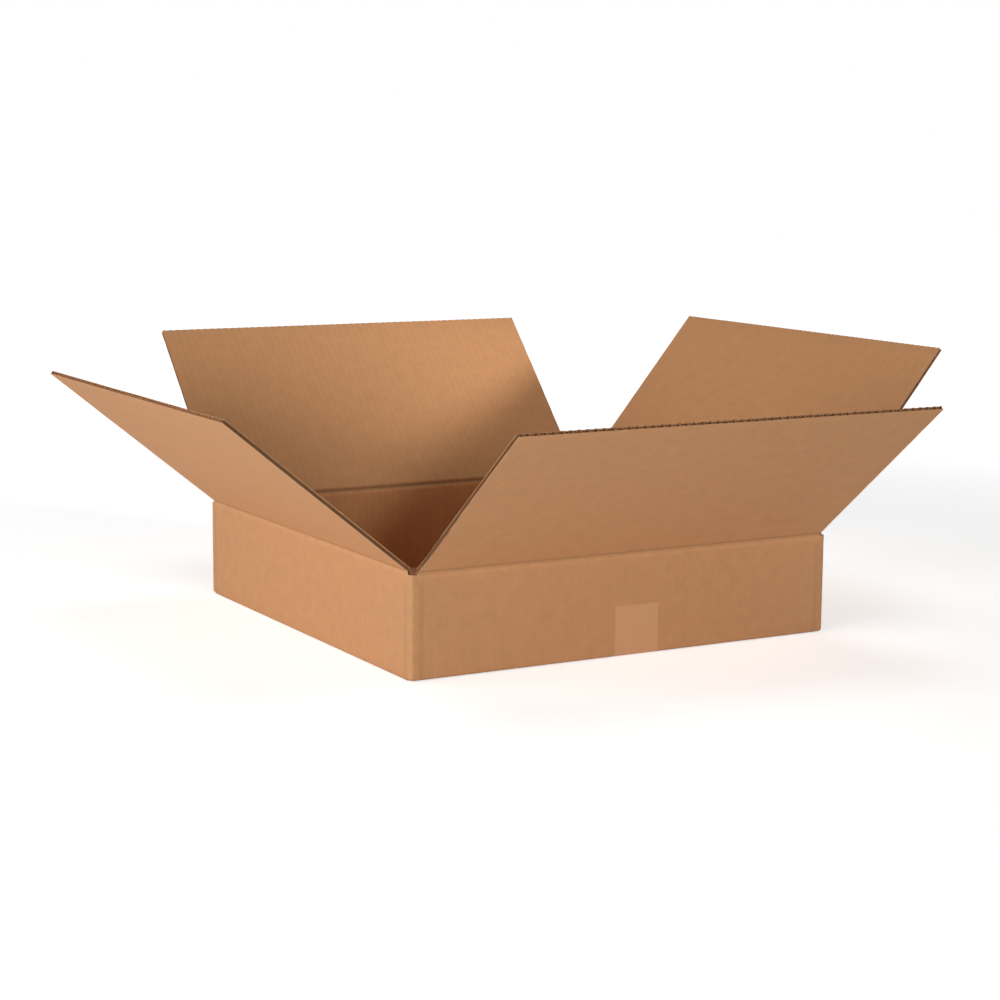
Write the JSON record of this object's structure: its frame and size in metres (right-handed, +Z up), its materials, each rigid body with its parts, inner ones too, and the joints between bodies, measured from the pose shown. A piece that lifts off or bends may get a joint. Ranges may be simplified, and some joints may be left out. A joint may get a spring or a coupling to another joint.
{
  "type": "open corrugated cardboard box",
  "caption": "Shallow square slotted carton of corrugated kraft board, base folded shut and taped, with its top flaps hinged on creases and standing open outwards.",
  "frame": {"origin": "centre of the base's underside, in the plane that the box stands on", "axes": "+Z up, +X to the right along the front wall, +Y from the front wall to the back wall; the base seam and its tape run along Y"},
  "size_m": [0.79, 0.8002, 0.2803],
  "materials": {
    "board": "matte",
    "flap_board": "matte",
    "tape": "satin"
  },
  "bodies": {
    "box": {"box_body": "board", "bottom_tape": "tape"},
    "front_flap": {"front_flap": "flap_board"},
    "left_flap": {"left_flap": "flap_board"},
    "back_flap": {"back_flap": "flap_board"},
    "right_flap": {"right_flap": "flap_board"}
  },
  "joints": [
    {"name": "front_crease", "type": "hinge", "parent": "box", "child": "front_flap", "pos_m": [0, -0.2325, 0.1007], "axis": [1, 0, 0], "range_deg": [-141, 59]},
    {"name": "left_crease", "type": "hinge", "parent": "box", "child": "left_flap", "pos_m": [-0.2305, 0, 0.103], "axis": [0, -1, 0], "range_deg": [-141, 59]},
    {"name": "back_crease", "type": "hinge", "parent": "box", "child": "back_flap", "pos_m": [0, 0.2325, 0.1007], "axis": [-1, 0, 0], "range_deg": [-133, 67]},
    {"name": "right_crease", "type": "hinge", "parent": "box", "child": "right_flap", "pos_m": [0.2305, 0, 0.103], "axis": [0, 1, 0], "range_deg": [-130, 70]}
  ]
}
